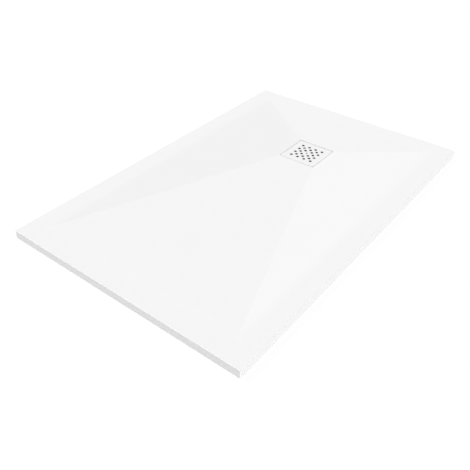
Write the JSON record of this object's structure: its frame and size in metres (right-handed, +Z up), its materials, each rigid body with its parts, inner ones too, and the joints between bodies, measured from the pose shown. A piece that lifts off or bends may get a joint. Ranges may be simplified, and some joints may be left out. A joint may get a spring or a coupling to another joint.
{
  "type": "shower tray",
  "caption": "Low rectangular shower tray with a flat rim, falls on all sides to a flush perforated grate, and a trapped waste with a horizontal outlet below.",
  "frame": {"origin": "middle of the flat underside, which lies on the mortar bed", "axes": "+X across the tray, +Y along it towards the drain, +Z up"},
  "size_m": [0.8, 1.2, 0.087],
  "materials": {
    "white_gelcoat": "satin white gelcoat over cast mineral resin",
    "white_enamelled_steel": "white powder coat on pressed sheet steel",
    "black_rubber": "matt moulded rubber",
    "black_abs": "moulded, fine spark texture",
    "light_grey_polypropylene": "moulded, slightly waxy",
    "black_polypropylene": "moulded, slightly waxy",
    "stainless_steel": "turned and polished screws",
    "brass": "turned brass"
  },
  "bodies": {
    "root": {"tray": "white_gelcoat", "flange_gasket": "black_rubber", "waste_flange": "black_abs", "flange_screws": "stainless_steel", "screw_inserts": "brass", "body_gasket": "black_rubber", "trap_body": "light_grey_polypropylene", "outlet_cone_washer": "black_rubber"},
    "trap_insert": {"dip_tube_head": "black_abs", "dip_tube": "black_abs", "dip_tube_seal": "black_rubber", "trap_cup": "black_abs"},
    "strainer": {"hair_strainer": "black_abs"},
    "grate_cover": {"grate": "white_enamelled_steel", "grate_foot_1": "black_rubber", "grate_foot_2": "black_rubber", "grate_foot_3": "black_rubber", "grate_foot_4": "black_rubber"},
    "slip_ring": {"outlet_slip_ring": "light_grey_polypropylene"},
    "nut": {"outlet_nut": "black_polypropylene"}
  },
  "joints": [
    {"name": "insert_lift", "type": "slide", "parent": "root", "child": "trap_insert", "axis": [0, 0, 1], "range_m": [0, 0.08]},
    {"name": "strainer_lift", "type": "slide", "parent": "trap_insert", "child": "strainer", "axis": [0, 0, 1], "range_m": [0, 0.03]},
    {"name": "grate_lift", "type": "slide", "parent": "strainer", "child": "grate_cover", "axis": [0, 0, 1], "range_m": [0, 0.06]},
    {"name": "slip_ring_slide", "type": "slide", "parent": "root", "child": "slip_ring", "axis": [0, 1, 0], "range_m": [0, 0.0091]},
    {"name": "outlet_nut_turn", "type": "hinge", "parent": "slip_ring", "child": "nut", "pos_m": [0, 0.29, -0.032], "axis": [0, 1, 0], "range_deg": [0, 1080]}
  ],
  "couplings": [
    {"joint": "slip_ring_slide", "follows": "outlet_nut_turn", "m_per_rad": 0.00047746}
  ]
}
